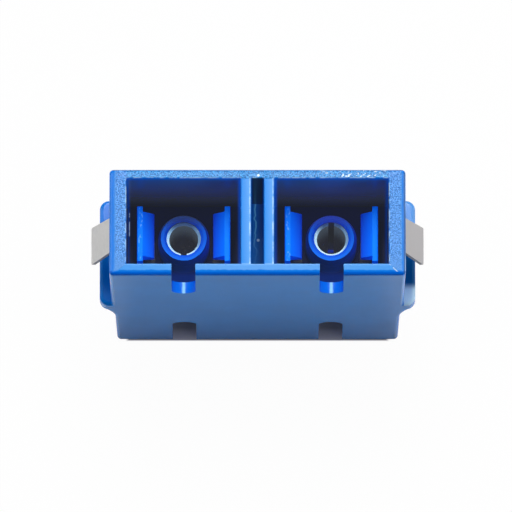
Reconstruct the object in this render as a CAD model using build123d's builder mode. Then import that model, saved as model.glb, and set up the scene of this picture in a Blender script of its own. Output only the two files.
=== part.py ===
"""Duplex SC fibre adapter with reduced ears and a spring mounting clip.

A one-piece moulded housing joins two SC plugs to two SC plugs. Inside each of its four ports
sits a latch insert: a flange with two hooked arms and one half of the ferrule sleeve's holder.
The two halves of a holder trap one split alignment sleeve, and a spring-steel clip on the back
of the housing holds the adapter in its panel.

Units are millimetres. +Z is the mating axis, out of the front ports. The keyways are cut in the
-Y wall, and the clip wraps round the +Y wall. The origin lies where the panel seats: on the
plane of the ears' front faces, midway between the two ports.
"""

import os
from math import cos, radians, sin, tan

from build123d import *

# ---- Ports ---------------------------------------------------------------------------------
port_pitch = 12.7  # between the two ferrule axes
port_width = 9.8  # X
port_height = 7.5  # Y
port_length = 12.0  # from a port's face down to the web that the inserts seat on
keyway_width = 2.05
keyway_length = 7.3

# ---- Housing -------------------------------------------------------------------------------
end_wall = 1.45  # X, outside a port, at the front face
key_wall = 1.0  # Y, the wall with the keyways
back_wall = 0.8  # Y, the wall under the clip
web_thickness = 2.0
front_draft = 0.4  # degrees, each narrow side in front of the panel, widest at the front
rear_draft = 0.6  # degrees, each narrow side behind the ears, narrowest at the rear
rear_set_in = 0.28  # the rear half's sides lie this far inside the panel seat's
rim_fall = 0.12  # how far the port rim slopes back at its outer edge
rim_flat = 0.15  # flat band of the rim around the ports
mouth_bevel = 0.08  # inner edges of the port rims
edge_radius = 0.35  # outer edges of the housing
relief_slot_width = 1.05  # sink-relief slot between the two ports
relief_slot_length = 10.0

# ---- Ears ----------------------------------------------------------------------------------
ear_reach = 1.0  # beyond the side of the housing
ear_thickness = 2.0
ear_corner_radius = 0.8
buttress_length = 3.5  # concave ramp behind each ear
buttress_height = 0.73

# ---- Split alignment sleeves ----------------------------------------------------------------
sleeve_bore = 2.5
sleeve_wall = 0.35
sleeve_length = 11.4
sleeve_slit = 0.5
sleeve_lead_in = 0.2

# ---- Latch inserts ---------------------------------------------------------------------------
flange_thickness = 1.2
flange_gap = 0.05  # between the flange's edge and the port's walls
holder_wall = 0.55
nose_length = 0.9  # the holder's tapered end
nose_taper = 14.0  # degrees
sleeve_gap = 0.05  # radial, sleeve in its holder
sleeve_end_play = 0.05
lip_bore = 2.95  # the lip that keeps the sleeve in
lip_thickness = 0.45
lip_lead_in = 0.15
web_hole_gap = 0.1  # radial, holder in the web
hook_gap = 5.05  # between the two hooks of a port
hook_height = 1.0  # how far a hook stands in from its arm
hook_land = 0.5  # crest of the hook
hook_crest_radius = 0.6  # rolls the lead-in ramp over into the crest
hook_width = 3.9
hook_undercut = 10.0  # degrees, lean of the catch face
arm_thickness = 0.48
arm_width = 4.8
arm_depth = 5.0  # from the port's face to the arm's tip
arm_root_radius = 0.5
core_gap = 0.05  # round each hook's outline in the flange, where the mould's core passes
arm_tip_radius = 0.12  # outer edges of the arms' tips

# ---- Mounting clip -----------------------------------------------------------------------------
clip_thickness = 0.3
clip_sink = 0.04  # how far the clip lies below the housing's faces
clip_gap = 0.02  # between the clip and the floor of its groove
clip_end_gap = 0.1  # between the clip's edges and the ends of its groove
clip_bend_radius = 0.25  # inside radius at the two corners
clip_front_band = 1.1  # clip in front of the tabs' roots
clip_rear_band = 0.85  # clip behind the tabs' free ends
clip_arm_stop = 1.25  # from the keyway face up to the arms' ends
panel_grip = 2.4  # from the ears to the tabs' free ends
tab_run = 4.75  # Z
tab_angle = 20.0  # degrees out from the housing's side
tab_root_width = 3.0
tab_tip_width = 3.25
tab_slot = 0.2  # sheared gap round the tab
tab_corner_radius = 0.15
catch_width = 2.4  # X, moulded catches that the clip snaps over
catch_length = 1.5  # Z
catch_gap = 0.12

# ---- Worked out from the sizes above --------------------------------------------------------------
body_width = port_pitch + port_width + 2 * end_wall
body_height = key_wall + port_height + back_wall
key_face_y = -body_height / 2
back_face_y = body_height / 2
port_y = (key_wall - back_wall) / 2
mid_z = -ear_thickness / 2
half_length = port_length + web_thickness / 2
front_z = mid_z + half_length
rear_z = mid_z - half_length
rim_base = {"front": front_z - rim_fall, "rear": rear_z + rim_fall}
rim_x = body_width / 2 - rim_fall * tan(radians(front_draft))
seat_x = body_width / 2 - (front_z - panel_grip) * tan(radians(front_draft))
ear_x = seat_x + ear_reach


def rear_x(z):
    """Half the housing's width at height z, behind the ears."""
    return seat_x - rear_set_in - (-ear_thickness - z) * tan(radians(rear_draft))


sleeve_radius = sleeve_bore / 2 + sleeve_wall
holder_bore_radius = sleeve_radius + sleeve_gap
holder_radius = holder_bore_radius + holder_wall
lip_seat = sleeve_length / 2 + sleeve_end_play
holder_reach = lip_seat + lip_thickness

clip_rear_z = panel_grip - clip_rear_band
clip_root_z = panel_grip + tab_run
clip_front_z = clip_root_z + clip_front_band
clip_side_x = seat_x - clip_sink
clip_back_y = back_face_y - clip_sink
clip_arm_y = key_face_y + clip_arm_stop
clip_inner_x = clip_side_x - clip_thickness
clip_inner_y = clip_back_y - clip_thickness
groove_x = clip_inner_x - clip_gap
groove_y = clip_inner_y - clip_gap
catch_z = (clip_front_z + clip_rear_z) / 2
tab_set_back = clip_thickness * tan(radians(tab_angle) / 2)

port_sides = {"left": -1, "right": 1}
port_ends = {"front": 1, "rear": -1}
slit_towards = {"left": -1, "right": 1}  # Y direction that each sleeve's slit faces
near = 0.01  # how close counts as level when edges are picked by position

os.makedirs("parts", exist_ok=True)


def port_plane(side, end):
    """Plane on a port's axis at the middle of the adapter, facing out of the port."""
    origin = (port_sides[side] * port_pitch / 2, port_y, mid_z)
    return Plane(origin=origin, x_dir=(1, 0, 0), z_dir=(0, 0, port_ends[end]))


def end_plane(end, depth=0.0):
    """Plane on the housing's axis, a given depth inside its front or rear face."""
    z = mid_z + port_ends[end] * (half_length - depth)
    return Plane(origin=(0, 0, z), x_dir=(1, 0, 0), z_dir=(0, 0, port_ends[end]))


def level(shapes, axis, value):
    """The edges or faces whose middle lies at a value along an axis."""
    return shapes.filter_by_position(axis, value - near, value + near)


# ---- Buttresses behind the ears ----------------------------------------------------------------------
ramp_z = -ear_thickness - buttress_length
with BuildPart() as buttresses:
    # Each one curves out of the housing's side and runs on a little way into the ear
    with BuildSketch(Plane.XZ):
        with BuildLine():
            ramp = TangentArc(
                (rear_x(ramp_z), ramp_z),
                (rear_x(-ear_thickness) + buttress_height, -ear_thickness),
                tangent=(tan(radians(rear_draft)), 1),
            )
            Polyline(
                ramp @ 1,
                ramp @ 1 + (0, ear_thickness / 2),
                (rear_x(ramp_z) - edge_radius, -ear_thickness / 2),
                (rear_x(ramp_z) - edge_radius, ramp_z),
                ramp @ 0,
            )
        make_face()
        mirror(about=Plane.YZ)
    extrude(amount=body_height / 2, both=True)
    fillet(buttresses.edges().filter_by(GeomType.CIRCLE), edge_radius)

# ---- Housing --------------------------------------------------------------------------------------
with BuildPart() as housing:
    # Outline of the broad faces: drafted sides, straight where the panel sits, with an ear on each
    with BuildSketch(Plane.XZ):
        with BuildLine():
            Polyline(
                (0, rim_base["front"]),
                (rim_x, rim_base["front"]),
                (seat_x, panel_grip),
                (seat_x, 0),
                (ear_x, 0),
                (ear_x, -ear_thickness),
                (rear_x(-ear_thickness), -ear_thickness),
                (rear_x(rim_base["rear"]), rim_base["rear"]),
                (0, rim_base["rear"]),
                close=True,
            )
        make_face()
        mirror(about=Plane.YZ)
    extrude(amount=body_height / 2, both=True)

    # Port rims: a shallow mitred slope from the flat band out to the edges
    rim_half_width = {"front": rim_x, "rear": rear_x(rim_base["rear"])}
    for end in port_ends:
        with BuildSketch(end_plane(end, rim_fall)):
            Rectangle(2 * rim_half_width[end], body_height)
        with BuildSketch(end_plane(end)):
            with Locations((0, port_ends[end] * port_y)):
                Rectangle(port_pitch + port_width + 2 * rim_flat, port_height + 2 * rim_flat)
        loft(ruled=True)

    # Ear corners, then the outer edges of the broad faces, of the rims and of the ears
    for x in (-ear_x, ear_x):
        fillet(level(housing.edges().filter_by(Axis.Z), Axis.X, x), ear_corner_radius)
    outer_edges = housing.faces().filter_by(Axis.Y).edges()
    for x in (ear_corner_radius - ear_x, ear_x - ear_corner_radius):
        outer_edges -= level(outer_edges.filter_by(Axis.Z), Axis.X, x)
    for z in rim_base.values():
        outer_edges += level(housing.edges().filter_by(Axis.Y), Axis.Z, z)
    for z in (0, -ear_thickness):
        for ear_face in level(housing.faces().filter_by(Axis.Z), Axis.Z, z):
            outer_edges += ear_face.edges().sort_by(lambda edge: abs(edge.center().X))[1:]
    fillet(outer_edges, edge_radius)
    add(buttresses.part)

    # Ports from both ends down to the web, and the web's holes for the sleeve holders
    for end in port_ends:
        with BuildSketch(end_plane(end)):
            with Locations((0, port_ends[end] * port_y)):
                with GridLocations(port_pitch, 0, 2, 1):
                    Rectangle(port_width, port_height)
        extrude(amount=-port_length, mode=Mode.SUBTRACT)
        with BuildSketch(end_plane(end)):
            with Locations((0, port_ends[end] * port_y)):
                Rectangle(relief_slot_width, port_height)
        extrude(amount=-relief_slot_length, mode=Mode.SUBTRACT)
        rim = level(housing.faces().filter_by(Axis.Z), Axis.Z, end_plane(end).origin.Z)[0]
        chamfer([edge for mouth in rim.inner_wires() for edge in mouth.edges()], mouth_bevel)
    with BuildSketch(Plane.XY.offset(mid_z)):
        with Locations((0, port_y)):
            with GridLocations(port_pitch, 0, 2, 1):
                Circle(holder_radius + web_hole_gap)
    extrude(amount=web_thickness, both=True, mode=Mode.SUBTRACT)

    # Keyways: round-ended notches through the -Y wall, from the front and from the rear
    with BuildSketch(Plane.XZ.offset(-key_face_y)):
        for end, way in port_ends.items():
            face_z = mid_z + way * half_length
            keyway_z = face_z - way * (keyway_length - keyway_width / 2)
            with Locations((0, (face_z + keyway_z) / 2)):
                with GridLocations(port_pitch, 0, 2, 1):
                    Rectangle(keyway_width, abs(face_z - keyway_z))
            with Locations((0, keyway_z)):
                with GridLocations(port_pitch, 0, 2, 1):
                    Circle(keyway_width / 2)
    extrude(amount=-(key_wall + port_height / 2), mode=Mode.SUBTRACT)

    # Groove for the clip, round the +Y wall and part of the way down both sides
    with BuildSketch(Plane.XY.offset(clip_rear_z - clip_end_gap)):
        groove_floor_y = clip_arm_y - clip_end_gap
        with Locations((0, groove_floor_y)):
            Rectangle(2 * ear_x, body_height, align=(Align.CENTER, Align.MIN))
            Rectangle(
                2 * groove_x,
                groove_y - groove_floor_y,
                align=(Align.CENTER, Align.MIN),
                mode=Mode.SUBTRACT,
            )
    extrude(amount=clip_front_z - clip_rear_z + 2 * clip_end_gap, mode=Mode.SUBTRACT)
    fillet(level(housing.edges().filter_by(Axis.Z), Axis.Y, groove_y), clip_bend_radius)

    # Catches that stand in the groove's floor and hold the clip
    with BuildSketch(Plane.XZ.offset(-groove_y)):
        with Locations((0, catch_z)):
            with GridLocations(port_pitch, 0, 2, 1):
                Rectangle(catch_width, catch_length)
    extrude(amount=-(clip_back_y - groove_y))
housing.part.label = "housing"
export_step(housing.part, "parts/housing.step")

# ---- Latch inserts: one in each port, seated on the web ------------------------------------------------
seat = web_thickness / 2  # all along the port's axis, from the middle of the adapter
flange_face = seat + flange_thickness
arm_tip = half_length - arm_depth
arm_inner_x = hook_gap / 2 + hook_height
crest_front = (hook_gap / 2, arm_tip - hook_height)
crest_rear = arm_tip - hook_height - hook_land
catch_rear = crest_rear - hook_height * tan(radians(hook_undercut))
for side in port_sides:
    for end in port_ends:
        port_axis = port_plane(side, end)
        with BuildPart() as insert:
            # Flange, with a core window behind each hook, and the arms that stand on it
            with BuildSketch(port_axis.offset(seat)):
                Rectangle(port_width - 2 * flange_gap, port_height - 2 * flange_gap)
                with GridLocations(hook_gap + hook_height - core_gap, 0, 2, 1):
                    Rectangle(hook_height + core_gap, hook_width + 2 * core_gap, mode=Mode.SUBTRACT)
            extrude(amount=flange_thickness)
            with BuildSketch(port_axis.offset(seat)):
                with GridLocations(2 * arm_inner_x + arm_thickness, 0, 2, 1):
                    Rectangle(arm_thickness, arm_width)
            extrude(amount=arm_tip - seat)
            y_edges = insert.edges().filter_by(Axis.Y)
            y_edges = y_edges.sort_by(lambda edge: abs(edge.center().X - port_axis.origin.X))
            arm_roots = level(y_edges, Axis.Z, port_axis.offset(flange_face).origin.Z)[-4:-2]
            arm_tips = level(y_edges, Axis.Z, port_axis.offset(arm_tip).origin.Z)[-2:]
            fillet(arm_roots, arm_root_radius)
            fillet(arm_tips, arm_tip_radius)

            # Hooks: a lead-in ramp from the arm's tip, rolled over into a crest, and an undercut face
            hook_plane = Plane(origin=port_axis.origin, x_dir=port_axis.x_dir, z_dir=-port_axis.y_dir)
            with BuildSketch(hook_plane) as hook:
                with BuildLine():
                    Polyline(
                        (arm_inner_x, arm_tip),
                        crest_front,
                        (hook_gap / 2, crest_rear),
                        (arm_inner_x, catch_rear),
                        (arm_inner_x + arm_thickness / 2, catch_rear),
                        (arm_inner_x + arm_thickness / 2, arm_tip),
                        close=True,
                    )
                make_face()
                fillet(hook.vertices().sort_by_distance(crest_front)[0], hook_crest_radius)
                mirror(about=Plane.YZ)
            extrude(amount=hook_width / 2, both=True)

            # Half of the sleeve's holder, with a tapered nose and a lip at its mouth
            with BuildSketch(port_axis):
                Circle(holder_radius)
            extrude(amount=holder_reach - nose_length)
            with BuildSketch(port_axis.offset(holder_reach - nose_length)):
                Circle(holder_radius)
            extrude(amount=nose_length, taper=nose_taper)
            with BuildSketch(port_axis):
                Circle(holder_bore_radius)
            extrude(amount=lip_seat, mode=Mode.SUBTRACT)
            with BuildSketch(port_axis):
                Circle(lip_bore / 2)
            extrude(amount=holder_reach, mode=Mode.SUBTRACT)
            mouth = insert.edges().filter_by(GeomType.CIRCLE)
            mouth = mouth.filter_by(lambda edge: abs(edge.radius - lip_bore / 2) < lip_lead_in / 2)
            chamfer(mouth.sort_by(lambda edge: abs(edge.center().Z - mid_z))[-1], lip_lead_in)
        insert.part.label = f"{end}_{side}_latch"
        export_step(insert.part, f"parts/{insert.part.label}.step")

# ---- Split alignment sleeves --------------------------------------------------------------------------
for side in port_sides:
    with BuildPart() as sleeve:
        sleeve_end = port_plane(side, "front").offset(-sleeve_length / 2)
        with BuildSketch(sleeve_end):
            Circle(sleeve_radius)
            Circle(sleeve_bore / 2, mode=Mode.SUBTRACT)
        extrude(amount=sleeve_length)
        bore_edges = sleeve.edges().filter_by(GeomType.CIRCLE).sort_by(lambda edge: edge.radius)[:2]
        chamfer(bore_edges, sleeve_lead_in)
        with BuildSketch(sleeve_end):
            with Locations((0, slit_towards[side] * sleeve_radius / 2)):
                Rectangle(sleeve_slit, sleeve_radius)
        extrude(amount=sleeve_length, mode=Mode.SUBTRACT)
    sleeve.part.label = f"{side}_split_sleeve"
    export_step(sleeve.part, f"parts/{sleeve.part.label}.step")

# ---- Mounting clip: one folded strip of spring steel -----------------------------------------------------
with BuildPart() as clip:
    with BuildSketch(Plane.XY.offset(clip_rear_z)):
        with BuildLine():
            FilletPolyline(
                (-clip_inner_x, clip_arm_y),
                (-clip_inner_x, clip_inner_y),
                (clip_inner_x, clip_inner_y),
                (clip_inner_x, clip_arm_y),
                radius=clip_bend_radius,
            )
            offset(amount=clip_thickness, side=Side.LEFT)
        make_face()
    extrude(amount=clip_front_z - clip_rear_z)

    # Holes that snap over the housing's catches
    with BuildSketch(Plane.XZ.offset(-clip_back_y)):
        with Locations((0, catch_z)):
            with GridLocations(port_pitch, 0, 2, 1):
                Rectangle(catch_width + 2 * catch_gap, catch_length + 2 * catch_gap)
    extrude(amount=2 * clip_thickness, mode=Mode.SUBTRACT)

    # Windows that the tabs are sheared from, and the tabs, bent out so that they face the ears
    window_top = clip_root_z - tab_set_back
    window_bottom = panel_grip - tab_slot
    with BuildSketch(Plane.YZ):
        with Locations((0, window_bottom)):
            Rectangle(
                tab_tip_width + 2 * tab_slot,
                window_top - window_bottom,
                align=(Align.CENTER, Align.MIN),
            )
    extrude(amount=ear_x, both=True, mode=Mode.SUBTRACT)
    lean = radians(tab_angle)
    for way in port_sides.values():
        tab_plane = Plane(
            origin=(way * clip_side_x, 0, clip_root_z),
            x_dir=(way * sin(lean), 0, -cos(lean)),
            z_dir=(way * cos(lean), 0, sin(lean)),
        )
        with BuildSketch(tab_plane) as tab:
            with BuildLine():
                Polyline(
                    (-tab_set_back, tab_root_width / 2),
                    (tab_run / cos(lean), tab_tip_width / 2),
                    (tab_run / cos(lean), -tab_tip_width / 2),
                    (-tab_set_back, -tab_root_width / 2),
                    close=True,
                )
            make_face()
            fillet(tab.vertices().group_by(Axis.X)[-1], tab_corner_radius)
        extrude(amount=-clip_thickness)
clip.part.label = "mounting_clip"
export_step(clip.part, "parts/mounting_clip.step")
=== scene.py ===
"""Duplex SC fibre adapter, dressed for the photograph: camera, materials, floor and light."""

import math
from functools import cached_property

import bpy
from mathutils import Matrix, Vector


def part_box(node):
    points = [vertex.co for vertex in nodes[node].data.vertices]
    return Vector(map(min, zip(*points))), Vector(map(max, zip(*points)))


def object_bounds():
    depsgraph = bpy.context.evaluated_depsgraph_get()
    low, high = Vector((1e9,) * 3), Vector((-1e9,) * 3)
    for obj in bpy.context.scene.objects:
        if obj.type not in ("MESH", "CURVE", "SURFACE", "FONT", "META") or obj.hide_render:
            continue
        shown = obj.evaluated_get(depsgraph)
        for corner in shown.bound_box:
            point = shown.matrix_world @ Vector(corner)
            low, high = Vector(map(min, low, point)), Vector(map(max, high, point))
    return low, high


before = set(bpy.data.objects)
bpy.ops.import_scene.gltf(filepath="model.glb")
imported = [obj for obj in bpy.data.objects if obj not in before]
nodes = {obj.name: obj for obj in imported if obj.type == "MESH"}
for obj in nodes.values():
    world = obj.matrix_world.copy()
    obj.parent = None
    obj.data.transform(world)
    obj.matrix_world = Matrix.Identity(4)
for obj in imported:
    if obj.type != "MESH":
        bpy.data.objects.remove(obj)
cad_box = [list(corner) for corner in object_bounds()]

MM = 0.001
scene = bpy.context.scene


# ---- Camera: the photograph's viewing angle, from far away with a long lens ----------------------
TILT = math.radians(12.7)  # from straight down into the front ports, towards the keyed face
DISTANCE = 1.302
PIXELS_PER_METRE = 11571.0  # at the panel's seat
IMAGE = 512
AIM_RIGHT = -0.13 * MM  # these two place the object in the image
AIM_DOWN = 0.286 * MM

back = Vector((0, -math.sin(TILT), math.cos(TILT)))
right = Vector((1, 0, 0))
up = back.cross(right)
camera_data = bpy.data.cameras.new("camera")
camera_data.sensor_width = 36.0
camera_data.lens = camera_data.sensor_width * PIXELS_PER_METRE * DISTANCE / IMAGE
camera_data.clip_start = 0.1
camera_data.clip_end = 20.0
camera = bpy.data.objects.new("camera", camera_data)
scene.collection.objects.link(camera)
turn = Matrix((right, up, back)).transposed().to_4x4()
place = back * DISTANCE + right * AIM_RIGHT - up * AIM_DOWN
camera.matrix_world = Matrix.Translation(place) @ turn
scene.camera = camera
scene.view_settings.view_transform = "Standard"


# ---- Node materials ------------------------------------------------------------------------------
class Nodes:
    """A node material with a few short ways of adding nodes to it."""

    def __init__(self, name):
        self.material = bpy.data.materials.new(name)
        self.material.use_nodes = True
        self.tree = self.material.node_tree
        self.tree.nodes.clear()
        self.out = self.add("ShaderNodeOutputMaterial")
        self.shader = self.add("ShaderNodeBsdfPrincipled")
        self.join(self.shader.outputs["BSDF"], self.out.inputs["Surface"])
        self.place = self.add("ShaderNodeTexCoord").outputs["Object"]
        self.x, self.y, self.z = self.parts(self.place)
        self.nx, self.ny, self.nz = self.parts(self.add("ShaderNodeNewGeometry").outputs["True Normal"])

    def add(self, kind, **values):
        node = self.tree.nodes.new(kind)
        for key, value in values.items():
            setattr(node, key, value)
        return node

    def join(self, a, b):
        self.tree.links.new(a, b)

    def feed(self, socket, value):
        """Gives a socket a colour, a number or a link."""
        if isinstance(value, tuple):
            socket.default_value = (*value, 1)
        elif isinstance(value, (int, float)):
            socket.default_value = value
        else:
            self.join(value, socket)

    def parts(self, vector):
        node = self.add("ShaderNodeSeparateXYZ")
        self.join(vector, node.inputs[0])
        return node.outputs[0], node.outputs[1], node.outputs[2]

    def noise(self, grain, detail=3.0, stretch=(1, 1, 1)):
        """Noise whose grain is given in metres."""
        node = self.add("ShaderNodeTexNoise")
        node.inputs["Scale"].default_value = 1.0
        node.inputs["Detail"].default_value = detail
        node.inputs["Roughness"].default_value = 0.5
        scale = self.add("ShaderNodeMapping")
        scale.inputs["Scale"].default_value = [factor / grain for factor in stretch]
        self.join(self.place, scale.inputs["Vector"])
        self.join(scale.outputs["Vector"], node.inputs["Vector"])
        return node.outputs["Fac"]

    def remap(self, value, low, high, to_low, to_high):
        node = self.add("ShaderNodeMapRange")
        limits = {"From Min": low, "From Max": high, "To Min": to_low, "To Max": to_high}
        for socket, number in limits.items():
            node.inputs[socket].default_value = number
        self.join(value, node.inputs["Value"])
        return node.outputs["Result"]

    def step(self, value, off, on):
        """0 on the side of the first limit, 1 on the side of the second, and smooth between."""
        result = self.remap(value, off, on, 0.0, 1.0)
        result.node.interpolation_type = "SMOOTHSTEP"
        return result

    def maths(self, operation, first, *others):
        """The values joined by one operation, from left to right, or the operation on one value."""
        total = first
        for value in others or (0.0,):
            node = self.add("ShaderNodeMath", operation=operation)
            self.feed(node.inputs[0], total)
            self.feed(node.inputs[1], value)
            total = node.outputs[0]
        return total

    def minus(self, first, *others):
        return self.maths("SUBTRACT", first, *others)

    def all_of(self, *masks):
        """Where all the masks hold."""
        return self.maths("MULTIPLY", *masks)

    def size(self, value):
        return self.maths("ABSOLUTE", value)

    def reach(self, a, b):
        """How far a point lies from an axis, by its two distances."""
        squares = self.maths("ADD", self.maths("MULTIPLY", a, a), self.maths("MULTIPLY", b, b))
        return self.maths("SQRT", squares)

    def spot(self, x, y, radius):
        """Round mark about a line along Z."""
        return self.step(self.reach(self.minus(self.x, x), self.minus(self.y, y)), radius, 0.5 * radius)

    def mix(self, kind, sockets, values):
        node = self.add("ShaderNodeMix", data_type=kind)
        for number, value in zip(sockets, values):
            self.feed(node.inputs[number], value)
        return node

    def fade(self, factor, a, b):
        """Mix of two numbers by a factor."""
        return self.mix("FLOAT", (0, 2, 3), (factor, a, b)).outputs[0]

    def blend(self, factor, a, b):
        """Mix of two colours by a factor."""
        return self.mix("RGBA", (0, 6, 7), (factor, a, b)).outputs[2]

    def bump(self, height, depth, under):
        node = self.add("ShaderNodeBump")
        node.inputs["Distance"].default_value = depth
        self.join(height, node.inputs["Height"])
        self.join(under, node.inputs["Normal"])
        return node.outputs["Normal"]


# ---- Where the surfaces lie, read off the frame --------------------------------------------------
housing_low, housing_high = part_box("housing")
latch_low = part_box("front_left_latch")[0]
latch_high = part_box("front_right_latch")[1]
sleeve_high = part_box("left_split_sleeve")[1]
FLANGE_GAP = 0.05 * MM
EAR_REACH = 1.0 * MM
SLOT_DEPTH = 10.0 * MM
DIVIDER = 0.925 * MM
FLANGE_FACE = 2.2 * MM  # from the middle of the adapter
HOLDER_RADIUS = 2.2 * MM
RAMP_LOW = 2.5 * MM  # where the hooks' ramps start, from the port's axis
RAMP_HIGH = 3.7 * MM  # a little past where they end
PAST_KEYWAY = 1.1 * MM  # from the keyway's middle to just past its side
front_z = housing_high.z
mid_z = (housing_low.z + housing_high.z) / 2
side_x = housing_high.x - EAR_REACH
port_x = latch_high.x + FLANGE_GAP  # outer side of the ports
divider_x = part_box("front_right_latch")[0].x - FLANGE_GAP  # inner side of the ports
slot_x = divider_x - DIVIDER
port_middle = (port_x + divider_x) / 2
port_top = latch_high.y + FLANGE_GAP
port_bottom = latch_low.y - FLANGE_GAP
axis_y = (port_top + port_bottom) / 2
half_sleeve = sleeve_high.z - mid_z


class Finish(Nodes):
    """A material of the part, with its look so far and the measures that its masks share."""

    def __init__(self, name):
        super().__init__(name)
        self.glow = (0.0, 0.0, 0.0)

    @cached_property
    def across(self):
        """Distance from the plane between the two ports."""
        return self.size(self.x)

    @cached_property
    def along(self):
        """Distance from the plane between front and rear."""
        return self.size(self.minus(self.z, mid_z))

    @cached_property
    def on_right(self):
        return self.step(self.x, -MM, MM)

    @cached_property
    def beside_axis(self):
        """How far right of its port's axis a point lies."""
        return self.minus(self.x, self.fade(self.on_right, -port_middle, port_middle))

    @cached_property
    def off_axis(self):
        """Distance from its port's axis, across."""
        return self.size(self.minus(self.across, port_middle))

    def paint(self, mask, colour=None, gloss=None, glow=None):
        """Changes the look where the mask holds."""
        if colour is not None:
            self.colour = self.blend(mask, self.colour, colour)
        if gloss is not None:
            self.gloss = self.fade(mask, self.gloss, gloss)
        if glow is not None:
            self.glow = self.blend(mask, self.glow, glow)

    def light_up(self):
        """Shows the glow: painted haze, light through the plastic and a few highlights. Shows
        the glow, which stands in for haze and for light that comes through the plastic.
        """
        self.feed(self.shader.inputs["Emission Color"], self.glow)
        self.shader.inputs["Emission Strength"].default_value = 1.0


# ---- Blue plastic --------------------------------------------------------------------------------
def plastic(name, light, deep, rough, gloss):
    """Blue moulded plastic with its faint clouding."""
    m = Finish(name)
    m.tone = m.remap(m.noise(3 * MM, detail=2.0), 0.3, 0.7, 0.0, 1.0)
    m.colour = m.blend(m.tone, deep, light)
    m.rough = m.remap(m.noise(1.5 * MM), 0.3, 0.7, rough - 0.01, rough + 0.01)
    m.gloss = m.fade(m.tone, 0.95 * gloss, 1.05 * gloss)
    m.shader.inputs["IOR"].default_value = 1.5
    m.soft_edges = m.add("ShaderNodeBevel", samples=4)
    m.soft_edges.inputs["Radius"].default_value = 0.07 * MM
    return m


def painted_depth_shade(m, painted_dimness, inside):
    """Painted shade: deep in the ports the plastic is dimmer, under a thin neutral haze of painted glow.
    """
    m.paint(painted_dimness, colour=(0.002, 0.004, 0.015))
    m.paint(inside, glow=(0.0105, 0.0125, 0.0165))


def wall_light(m, where):
    """Painted glow for light that comes through the ports' side walls, most of it through the dividers.
    """
    inner = m.minus(m.across, divider_x)
    outer = m.size(m.minus(port_x, m.across))
    close = m.step(m.maths("MINIMUM", inner, outer), 0.33 * MM, 0.08 * MM)
    outward = m.step(m.across, port_middle - MM, port_middle + MM)
    light = m.blend(outward, (0.003, 0.04, 0.28), (0.003, 0.022, 0.14))
    m.paint(m.all_of(where, close), glow=light)


def finish_plastic(m, normal):
    m.join(m.colour, m.shader.inputs["Base Color"])
    m.join(m.rough, m.shader.inputs["Roughness"])
    m.join(m.gloss, m.shader.inputs["Specular IOR Level"])
    m.join(normal, m.shader.inputs["Normal"])
    m.light_up()
    return m


# ---- The housing ---------------------------------------------------------------------------------
def measure_housing(m):
    """How far a point lies from the nearer end and past the ports' edges, and where the rim's face is."""
    m.depth = m.minus(front_z - mid_z, m.along)
    m.beside = m.minus(m.across, port_x)
    m.below = m.minus(port_bottom, m.y)
    m.above = m.minus(m.y, port_top)
    m.wobble = m.remap(m.noise(0.5 * MM), 0.3, 0.7, -0.03 * MM, 0.03 * MM)
    m.leaning = m.maths("ADD", m.nz, m.maths("MULTIPLY", m.ny, 0.35))
    m.face = m.all_of(m.step(m.depth, 0.22 * MM, 0.17 * MM), m.step(m.leaning, 0.9, 0.93))
    between_dividers = 2 * divider_x - DIVIDER  # from one divider to the next
    turns = m.maths("FRACT", m.maths("DIVIDE", m.maths("ADD", m.x, divider_x), between_dividers))
    m.into_divider = m.remap(turns, 0.0, DIVIDER / between_dividers, 0.0, 1.0)


def short_of(m, past):
    """Where a point is not past a border, by its distance past it."""
    return m.step(past, 0.05 * MM, 0.02 * MM)


def keyed_face(m):
    """A little greyer than the rest, with painted shade towards the rear, and glossier to the right."""
    blue = m.blend(m.tone, (0.004, 0.27, 0.84), (0.004, 0.29, 0.9))
    # painted shade towards the rear: the floor's contact shadow seen in the face
    rear_shade = m.remap(m.z, housing_low.z, front_z - 5.5 * MM, 0.4, 0.0)
    blue = m.blend(rear_shade, blue, (0.004, 0.06, 0.25))
    gloss = m.remap(m.x, 0.6 * side_x, side_x, 0.185, 0.34)
    m.paint(m.step(m.ny, -0.5, -0.8), colour=blue, gloss=gloss)


def ears(m):
    """Left deeper than the body, right paler with a painted highlight and shadow, both less glossy to -Y.
    """
    ear = m.all_of(m.step(m.across, side_x - 0.02 * MM, side_x + 0.05 * MM), m.step(m.nz, 0.1, 0.3))
    # left ear: deeper towards -Y, painted shade of the clip's tab
    left = m.blend(m.step(m.y, 0.0, 1.5 * MM), (0.002, 0.17, 0.62), (0.004, 0.19, 0.72))
    # right ear: a painted highlight towards -Y
    right = m.blend(m.step(m.y, -1.5 * MM, 1.5 * MM), (0.5, 0.75, 1.0), (0.09, 0.31, 0.74))
    # painted shadow of the clip's tab across the right ear
    shade = m.all_of(m.step(m.y, -3.35 * MM, -2.6 * MM), m.step(m.y, 1.0 * MM, 0.5 * MM))
    right = m.blend(shade, right, (0.002, 0.1, 0.32))
    # less gloss towards -Y, standing in for the tab's shadow
    tab_shadow_gloss = m.fade(m.step(m.y, 0.5 * MM, 1.5 * MM), 0.06, 0.35)
    m.paint(ear, colour=m.blend(m.on_right, left, right), gloss=tab_shadow_gloss)


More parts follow.
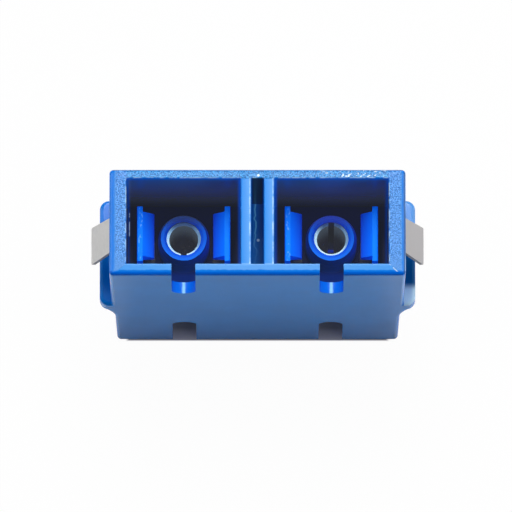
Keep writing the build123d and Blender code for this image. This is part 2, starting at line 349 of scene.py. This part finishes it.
def rim(m):
    """Pale rim, polished on the lip and dividers, spark-eroded on the top and side strips."""
    # From the outer edge, which is rounded least on the +Y and +X sides
    rounding = m.remap(m.x, -side_x, side_x, 0.0, 0.13 * MM)
    beside_edge = m.maths("ADD", m.minus(side_x, m.across), rounding)
    inside = m.maths("MINIMUM", beside_edge, m.minus(m.y, housing_low.y + 0.04 * MM),
                     m.minus(housing_high.y + 0.4 * MM, m.y))
    inside = m.maths("ADD", inside, m.wobble)

    # The mitre at the lower corners parts the strips from the lip
    side_strip = m.all_of(m.step(m.beside, -0.05 * MM, 0.0),
                          m.step(m.minus(m.beside, m.below), 0.0, 0.05 * MM))
    frosted = m.maths("MAXIMUM", m.step(m.above, -0.05 * MM, 0.0), side_strip)
    sharp = m.step(inside, 0.38 * MM, 0.46 * MM)
    soft = m.step(inside, 0.27 * MM, 0.55 * MM)
    flat = m.all_of(m.face, m.fade(frosted, sharp, soft))
    m.frost = m.all_of(flat, frosted)
    m.fading = m.all_of(m.frost, m.remap(m.below, -1.0 * MM, 0.1 * MM, 1.0, 0.3))

    # painted sheen: part of the lip's and dividers' paleness
    lip_pale = m.blend(m.step(m.across, port_x, 3 * MM), (0.085, 0.36, 0.9), (0.13, 0.4, 0.92))
    # painted light: each divider lighter towards +X
    divider_pale = m.blend(m.into_divider, (0.002, 0.24, 0.82), (0.06, 0.33, 0.84))
    m.paint(flat, colour=m.blend(m.step(m.below, -0.05 * MM, 0.0), divider_pale, lip_pale))
    m.grain = m.noise(0.115 * MM, detail=1.0)
    speckle = m.remap(m.grain, 0.38, 0.62, 0.0, 1.0)
    side_pale = m.blend(m.fade(m.fading, 0.5, speckle), (0.006, 0.14, 0.5), (0.12, 0.4, 0.95))
    pale = m.blend(side_strip, m.blend(speckle, (0.0, 0.12, 0.41), (0.08, 0.41, 0.9)), side_pale)
    # painted highlight along the ports' top edges
    port_edge_highlight = m.all_of(m.step(m.above, 0.14 * MM, 0.06 * MM), m.step(m.above, -0.03 * MM, 0.0),
                         m.step(m.across, divider_x, divider_x + 0.1 * MM),
                         m.step(m.beside, 0.05 * MM, 0.0))
    pale = m.blend(m.maths("MULTIPLY", port_edge_highlight, 0.8), pale, (0.15, 0.48, 0.97))
    m.paint(m.frost, colour=pale)
    on_divider = m.all_of(flat, m.step(m.across, divider_x, divider_x - 0.05 * MM))
    m.paint(on_divider, gloss=m.fade(m.into_divider, 0.15, 0.4))
    m.rough = m.maths("ADD", m.rough, m.maths("MULTIPLY", m.frost, 0.15))


def outer_edges(m):
    """Painted shade: the lip's rounded edge is deeper, and a dark line runs along the top and the +X
    edge.
    """
    under = m.all_of(m.step(m.y, housing_low.y + 0.42 * MM, housing_low.y + 0.36 * MM),
                     m.step(m.depth, 0.45 * MM, 0.4 * MM), m.step(m.nz, 0.2, 0.4),
                     m.step(m.leaning, 0.93, 0.9))
    m.paint(under, colour=(0.001, 0.125, 0.67), gloss=0.07)
    # painted shade on the rounded top and +X edges
    edge = m.maths("MINIMUM", m.minus(housing_high.y, m.y), m.minus(side_x, m.x))
    edge = m.all_of(m.step(edge, 0.16 * MM, 0.06 * MM), m.step(m.depth, 0.3 * MM, 0.2 * MM))
    m.paint(edge, colour=(0.02, 0.12, 0.36))


def wear_and_glints(m):
    """Painted highlights on port edges and dividers' +X edges, worn spots, a nick, painted glints on the
    mitre.
    """
    # painted highlight on the bevelled port edges
    arris_highlight = m.all_of(m.step(m.depth, 0.12 * MM, 0.08 * MM),
                     m.step(m.nz, 0.5, 0.6), m.step(m.nz, 0.85, 0.8),
                     m.step(m.maths("MAXIMUM", m.above, m.beside), -0.02 * MM, 0.0),
                     m.remap(m.noise(0.5 * MM), 0.4, 0.6, 0.0, 0.9))
    m.paint(arris_highlight, colour=(0.45, 0.75, 1.0))
    worn = m.all_of(m.frost, m.step(m.above, 0.0, 0.05 * MM), m.step(m.x, 3.5 * MM, 8 * MM),
                    m.step(m.beside, 0.1 * MM, -0.3 * MM),
                    m.step(m.noise(0.3 * MM, detail=2.0), 0.56, 0.66))
    nick = m.all_of(m.frost, m.spot(0.07 * MM, port_top + 0.24 * MM, 0.15 * MM))
    on_mitre = m.step(m.size(m.minus(m.beside, m.below, 0.03 * MM)), 0.1 * MM, 0.03 * MM)
    mitre = m.all_of(m.face, m.step(m.x, 0.0, MM), m.step(m.below, 0.0, 0.1 * MM),
                     m.step(m.beside, 0.0, 0.1 * MM), on_mitre,
                     m.step(m.noise(0.2 * MM, detail=1.0), 0.42, 0.56))
    # the worn spots and the nick are real marks; the mitre's glitter is painted glints
    m.paint(m.maths("MAXIMUM", worn, nick, m.maths("MULTIPLY", mitre, 0.7)), colour=(0.75, 0.9, 1.0))

    # painted highlight near each divider's +X edge
    divider_highlight = m.all_of(m.step(m.into_divider, 0.76, 0.84), m.step(m.into_divider, 0.97, 0.9),
                           m.step(m.across, divider_x + 0.03 * MM, divider_x),
                           m.step(m.above, 0.05 * MM, 0.0), m.step(m.below, 0.05 * MM, 0.0),
                           m.step(m.depth, 0.2 * MM, 0.15 * MM), m.step(m.nz, 0.3, 0.5))
    broken = m.remap(m.noise(1.1 * MM, detail=2.0, stretch=(0, 1, 0)), 0.42, 0.62, 0.1, 0.75)
    m.paint(m.all_of(divider_highlight, broken), colour=(0.5, 0.8, 1.0))


def keyway_end(m):
    """The keyways' round ends, with a painted highlight down the middle of each."""
    end = m.all_of(m.step(m.off_axis, PAST_KEYWAY + 0.1 * MM, PAST_KEYWAY),
                   m.step(m.below, -0.05 * MM, 0.0), m.step(m.depth, 0.5 * MM, 0.6 * MM),
                   m.step(m.size(m.nz), 0.1, 0.3))
    # painted highlight down the middle of each end
    middle = m.step(m.maths("ADD", m.off_axis, m.wobble), 0.22 * MM, 0.04 * MM)
    m.paint(m.all_of(end, middle), colour=(0.3, 0.75, 1.0))
    return end


def port_insides(m):
    """Painted shade and haze in their depth, and painted glow for light through the walls and at the
    mouth.
    """
    in_port = m.all_of(short_of(m, m.beside), short_of(m, m.above), short_of(m, m.below),
                       short_of(m, m.minus(divider_x, m.across)))
    painted_depth_shade(m, m.all_of(in_port, m.remap(m.depth, 0.0, 9 * MM, 0.2, 0.9)), in_port)
    # painted haze glow at middle depth
    haze = m.all_of(in_port, m.step(m.depth, 0.5 * MM, 5 * MM), m.step(m.depth, 10.8 * MM, 8 * MM))
    m.paint(haze, glow=(0.017, 0.0205, 0.025))
    top_wall = m.all_of(in_port, m.step(m.ny, -0.5, -0.8))
    wall_light(m, top_wall)
    # painted glow on the top wall near the mouth
    m.paint(m.all_of(top_wall, m.step(m.depth, 1.2 * MM, 0.2 * MM)), glow=(0.002, 0.04, 0.24))


def slot(m):
    """Painted shade between the dividers; floor, wavy flash line and crumb lit by painted glow."""
    floor = m.all_of(m.step(m.across, slot_x + 0.075 * MM, slot_x + 0.025 * MM),
                     m.step(m.depth, SLOT_DEPTH - 0.1 * MM, SLOT_DEPTH), m.step(m.size(m.nz), 0.8, 0.9))
    m.paint(floor, colour=(0.01, 0.3, 0.8), gloss=0.02)
    in_slot = m.all_of(m.step(m.across, slot_x + 0.05 * MM, slot_x),
                       short_of(m, m.above), short_of(m, m.below))
    near_side = m.step(m.across, slot_x - 0.14 * MM, slot_x - 0.03 * MM)
    facing = m.all_of(near_side, m.step(m.size(m.nx), 0.5, 0.3))
    # painted shade in the slot, with painted glow near its sides
    m.paint(in_slot, colour=m.blend(0.6, m.colour, (0.01, 0.03, 0.06)),
            glow=m.blend(facing, (0.004, 0.006, 0.004), (0.0, 0.01, 0.1)))
    # painted glow on the floor, brighter to -X; the flash line and the crumb glow brighter
    wave = m.remap(m.noise(1.2 * MM, detail=2.0, stretch=(0, 1, 0)), 0.3, 0.7, -0.4 * MM, 0.0)
    line = m.all_of(m.step(m.size(m.minus(m.x, wave)), 0.09 * MM, 0.02 * MM),
                    m.remap(m.y, -0.5 * MM, 1.5 * MM, 0.25, 1.0))
    rightward = m.remap(m.x, -0.4 * MM, 0.3 * MM, 0.0, 1.0)
    glow = m.blend(rightward, (0.004, 0.045, 0.2), (0.005, 0.018, 0.085))
    glow = m.blend(near_side, glow, (0.0, 0.014, 0.13))
    glow = m.blend(line, glow, (0.035, 0.14, 0.29))
    crumb = m.spot(0.06 * MM, 0.65 * MM, 0.16 * MM)
    m.paint(floor, glow=m.blend(crumb, glow, (0.12, 0.19, 0.3)))


def housing_plastic():
    """Polished blue, with a paler rim round the ports, and painted shade, highlights and glow."""
    m = plastic("housing_plastic", (0.004, 0.2, 0.78), (0.004, 0.185, 0.73), 0.2, 0.35)
    measure_housing(m)
    keyed_face(m)
    ears(m)
    rim(m)
    outer_edges(m)
    wear_and_glints(m)
    end = keyway_end(m)
    port_insides(m)
    slot(m)
    # painted glow on the keyways' ends, for a brighter blue
    m.paint(end, glow=(0.0, 0.0, 0.16))
    normal = m.bump(m.all_of(m.grain, m.fading), 0.04 * MM, m.soft_edges.outputs["Normal"])
    return finish_plastic(m, normal)


# ---- The latch inserts ---------------------------------------------------------------------------
def measure_latch(m):
    """Where a point lies about the port's axis and above the flange, and what it belongs to."""
    m.height = m.minus(m.along, FLANGE_FACE)
    m.radius = m.reach(m.off_axis, m.minus(m.y, axis_y))
    m.outward = m.remap(m.off_axis, RAMP_LOW, RAMP_HIGH, 0.0, 1.0)
    m.upper = m.step(m.height, 0.5 * MM, 2.5 * MM)
    m.arm = m.all_of(m.step(m.off_axis, RAMP_LOW - 0.1 * MM, RAMP_LOW), m.upper)
    m.tip = m.all_of(m.step(m.size(m.nz), 0.9, 0.97), m.step(m.height, 2.0 * MM, 2.5 * MM))
    past_flange = m.step(m.height, 0.1 * MM, 0.3 * MM)
    outside = HOLDER_RADIUS + 0.2 * MM
    m.round_part = m.all_of(m.step(m.radius, outside, outside - 0.1 * MM), past_flange)
    m.ring_side = m.all_of(m.round_part, m.step(m.radius, 1.8 * MM, 1.9 * MM),
                           m.step(m.size(m.nz), 0.85, 0.7))
    m.holder_top = m.all_of(m.step(m.off_axis, outside, outside - 0.1 * MM), past_flange,
                            m.step(m.y, 0.5 * MM, 2.2 * MM))


def hooks(m):
    """Painted lighter outwards, with duller tips."""
    # painted light: lighter away from the port's axis
    lit_ramp = m.blend(m.outward, (0.004, 0.085, 0.8), (0.001, 0.21, 1.0))
    clouding = m.remap(m.tone, 0.0, 1.0, 0.0, 0.1)
    m.paint(m.arm, colour=m.blend(clouding, lit_ramp, (0.001, 0.25, 1.0)))
    m.paint(m.all_of(m.tip, m.arm), colour=m.blend(m.tone, (0.001, 0.23, 0.88), (0.001, 0.25, 0.92)))
    m.paint(m.tip, gloss=0.06)


def holder(m):
    """A ring brighter towards its outer edge, with painted shade on its sides, bore and top."""
    ring_face = m.all_of(m.round_part, m.step(m.size(m.nz), 0.85, 0.95))
    ring_blue = m.blend(m.step(m.radius, 1.55 * MM, 1.85 * MM), (0.003, 0.11, 0.8), (0.005, 0.21, 1.0))
    m.paint(ring_face, colour=ring_blue)
    # painted light: the sides lighter to the right
    rightward = m.step(m.beside_axis, -1.5 * MM, 1.5 * MM)
    side_blue = m.blend(rightward, (0.002, 0.015, 0.1), (0.002, 0.06, 0.45))
    m.paint(m.maths("MULTIPLY", m.ring_side, 0.85), colour=side_blue)
    # painted shade in the bore
    bore_wall = m.all_of(m.step(m.radius, 1.72 * MM, 1.68 * MM), m.step(m.size(m.nz), 0.5, 0.3))
    m.paint(bore_wall, colour=(0.001, 0.01, 0.08))
    # painted shade on the holder's top
    m.paint(m.maths("MULTIPLY", m.holder_top, 0.75), colour=(0.002, 0.01, 0.15))


def latch_light(m, low):
    """Painted shade and haze, and painted glow for light through the arms, the ports' walls and the
    keyways.
    """
    painted_depth_shade(m, m.maths("MULTIPLY", low, 0.9), low)
    m.paint(m.upper, glow=(0.002, 0.004, 0.06))
    m.paint(m.ring_side, glow=(0.006, 0.013, 0.035))
    m.paint(m.arm, glow=m.blend(m.outward, (0.004, 0.008, 0.1), (0.0, 0.032, 0.32)))
    m.paint(m.holder_top, glow=m.blend(m.on_right, (0.021, 0.031, 0.052), (0.021, 0.035, 0.25)))
    sleeve_end = half_sleeve - FLANGE_FACE
    bore = m.all_of(m.step(m.radius, 1.8 * MM, 1.7 * MM),
                    m.step(m.height, sleeve_end, sleeve_end - 0.1 * MM))
    m.paint(bore, glow=(0.018, 0.02, 0.024))
    near_keyway = m.all_of(low, m.step(m.off_axis, 1.4 * MM, 1.0 * MM),
                           m.step(m.y, -1.5 * MM, -2.5 * MM))
    m.paint(near_keyway, glow=(0.008, 0.022, 0.13))
    wall_light(m, low)


def latch_glints(m, low):
    """Painted highlights on the -X hooks' tips, and a thin painted glint beside the left port's outer
    wall.
    """
    tip_highlights = m.all_of(m.tip, m.arm, m.step(m.beside_axis, 0.5 * MM, -0.5 * MM),
                      m.step(m.off_axis, 3.93 * MM, 3.83 * MM),
                      m.step(m.noise(0.22 * MM, detail=1.0, stretch=(1, 0.6, 1)), 0.54, 0.72))
    m.paint(tip_highlights, colour=(0.16, 0.5, 1.0))
    off_glint_line = m.size(m.maths("ADD", m.x, port_x - 0.19 * MM))
    glint_line = m.all_of(m.step(off_glint_line, 0.06 * MM, 0.01 * MM),
                       m.step(m.noise(0.6 * MM, detail=2.0), 0.37, 0.5),
                       m.step(m.size(m.minus(m.y, 2.2 * MM)), 1.1 * MM, 0.9 * MM), low)
    m.paint(glint_line, glow=(0.22, 0.31, 0.46))


def latch_plastic():
    """The inserts' blue, satin and a little deeper than the housing's."""
    m = plastic("latch_plastic", (0.003, 0.16, 1.0), (0.003, 0.145, 0.95), 0.45, 0.2)
    measure_latch(m)
    hooks(m)
    holder(m)
    low = m.step(m.height, 1.5 * MM, 0.1 * MM)
    latch_light(m, low)
    latch_glints(m, low)
    return finish_plastic(m, m.soft_edges.outputs["Normal"])


# ---- Metal ---------------------------------------------------------------------------------------
def metal(name, colour, rough, grain):
    """Drawn or rolled metal with fine lines along its grain."""
    m = Finish(name)
    m.shader.inputs["Metallic"].default_value = 1.0
    tone = m.remap(m.noise(0.3 * MM, stretch=grain), 0.3, 0.7, 0.0, 1.0)
    darker = tuple(0.9 * c for c in colour)
    m.colour = m.blend(tone, darker, colour)
    m.join(m.remap(tone, 0.0, 1.0, rough - 0.04, rough + 0.04), m.shader.inputs["Roughness"])
    return m


def sleeve_metal():
    """Bright drawn tube, ends ground matt and pale with painted light and glow, and painted glow in its
    bore.
    """
    m = metal("sleeve_metal", (0.42, 0.4, 0.33), 0.3, (1, 1, 0.1))
    end = m.step(m.along, half_sleeve - 0.24 * MM, half_sleeve - 0.2 * MM)
    # painted light: each end white where lit, bluish grey on its far side
    lit = m.step(m.maths("ADD", m.maths("MULTIPLY", m.beside_axis, 0.7), m.y), 0.9 * MM, -0.6 * MM)
    m.paint(end, colour=m.blend(lit, (0.25, 0.38, 0.5), (0.9, 1.0, 1.0)))
    m.join(m.colour, m.shader.inputs["Base Color"])
    m.join(m.remap(end, 0.0, 1.0, 1.0, 0.1), m.shader.inputs["Metallic"])
    # painted glow in the bore, brighter towards the front
    m.glow = m.blend(m.step(m.z, mid_z, sleeve_high.z), (0.011, 0.012, 0.016), (0.04, 0.055, 0.075))
    # painted glow on the ends, brighter on the lit side
    unlit = m.blend(m.step(m.beside_axis, 0.6 * MM, 1.3 * MM), (0.02, 0.035, 0.06), (0.09, 0.17, 0.25))
    bright = m.blend(m.on_right, (0.13, 0.34, 0.52), (0.24, 0.43, 0.5))
    m.paint(end, glow=m.blend(lit, unlit, bright))
    m.light_up()
    return m


def clip_steel():
    """Dull rolled strip, darker to the right and darker on its cut lower edges."""
    m = metal("clip_steel", (0.66, 0.655, 0.645), 0.42, (0.1, 1, 1))
    darker_grey = m.blend(0.7, m.colour, (0.5, 0.48, 0.485))
    m.paint(m.remap(m.x, 0.0, side_x, 0.0, 1.0), colour=darker_grey)
    m.paint(m.step(m.ny, -0.3, -0.6), colour=(0.3, 0.3, 0.31))
    m.join(m.colour, m.shader.inputs["Base Color"])
    return m


# Each node takes the finish that its name ends with
finishes = {
    "housing": housing_plastic(),
    "latch": latch_plastic(),
    "sleeve": sleeve_metal(),
    "clip": clip_steel(),
}
for name, node in nodes.items():
    node.data.materials.clear()
    node.data.materials.append(finishes[name.split("_")[-1]].material)


# ---- Floor ---------------------------------------------------------------------------------------
FLOOR_REACH = 1.5
FOOTPRINT_X = 11.2 * MM  # half the width of the painted shadow, inside the part's outline


def floor_finish():
    """White to the camera, with a painted shadow and glow under the part, which show in the rear keyways.
    """
    f = Nodes("floor")
    f.shader.inputs["Roughness"].default_value = 0.9
    thick = -housing_low.y
    outside = f.maths("MAXIMUM", f.remap(f.size(f.x), FOOTPRINT_X, FOOTPRINT_X + 0.3 * MM, 0.0, 1.0),
                      f.remap(f.size(f.y), thick, thick + 0.1 * MM, 0.0, 1.0))
    into_keyway = f.remap(f.y, -thick, -thick + 1.1 * MM, 0.0, 1.0)
    # painted glow in the shadow, brighter towards the keyed side
    shade = f.blend(into_keyway, (0.075, 0.08, 0.115), (0.02, 0.022, 0.024))
    # painted shadow: a darker floor under the part
    f.join(f.blend(outside, (0.25, 0.24, 0.22), (0.8, 0.8, 0.8)), f.shader.inputs["Base Color"])
    f.join(f.blend(outside, shade, (0.0, 0.0, 0.0)), f.shader.inputs["Emission Color"])
    f.shader.inputs["Emission Strength"].default_value = 1.0
    rays = f.add("ShaderNodeLightPath")
    white = f.add("ShaderNodeEmission")
    white.inputs["Strength"].default_value = 1.0
    mixed = f.add("ShaderNodeMixShader")
    seen = f.maths("MULTIPLY", rays.outputs["Is Camera Ray"], 0.97)
    f.join(f.maths("MULTIPLY", outside, seen), mixed.inputs[0])
    f.join(f.shader.outputs["BSDF"], mixed.inputs[1])
    f.join(white.outputs["Emission"], mixed.inputs[2])
    f.join(mixed.outputs["Shader"], f.out.inputs["Surface"])
    return f


level = cad_box[0][2]
corners = [(FLOOR_REACH * x, FLOOR_REACH * y, level) for x, y in ((-1, -1), (1, -1), (1, 1), (-1, 1))]
floor_mesh = bpy.data.meshes.new("floor")
floor_mesh.from_pydata(corners, [], [(0, 1, 2, 3)])
floor = bpy.data.objects.new("floor", floor_mesh)
scene.collection.objects.link(floor)
floor_mesh.materials.append(floor_finish().material)


# ---- Light ---------------------------------------------------------------------------------------
LAMP_DISTANCE = 0.6
LAMP_SIZE = 0.3


def pale_world():
    """White to the camera, and nearly dark to everything else."""
    world = bpy.data.worlds.new("world")
    scene.world = world
    world.use_nodes = True
    tree = world.node_tree
    sky = tree.nodes["Background"]
    rays = tree.nodes.new("ShaderNodeLightPath")
    strength = tree.nodes.new("ShaderNodeMapRange")
    strength.inputs["To Min"].default_value = 0.02
    strength.inputs["To Max"].default_value = 1.0
    tree.links.new(rays.outputs["Is Camera Ray"], strength.inputs["Value"])
    tree.links.new(strength.outputs["Result"], sky.inputs["Strength"])
    sky.inputs["Color"].default_value = (1, 1, 1, 1)


def softbox(name, towards, radiance):
    """Square area lamp that shines on the origin from a direction."""
    data = bpy.data.lights.new(name, "AREA")
    data.shape = "SQUARE"
    data.size = LAMP_SIZE
    data.energy = radiance * math.pi * LAMP_SIZE * LAMP_SIZE
    lamp = bpy.data.objects.new(name, data)
    scene.collection.objects.link(lamp)
    direction = Vector(towards).normalized()
    lamp.location = direction * LAMP_DISTANCE
    lamp.rotation_mode = "QUATERNION"
    lamp.rotation_quaternion = direction.to_track_quat("Z", "Y")


pale_world()
softbox("behind", (0, 0.53, 1), 10.5)
softbox("left", (-2.1, 0.2, 1), 3.1)
softbox("right", (2.1, 0.2, 1), 3.1)
softbox("left_fill", (-0.7, 0.1, 1), 1.2)
softbox("right_fill", (0.7, 0.1, 1), 1.2)
softbox("keyed_side", (1.4, -1.1, 0.9), 1.6)
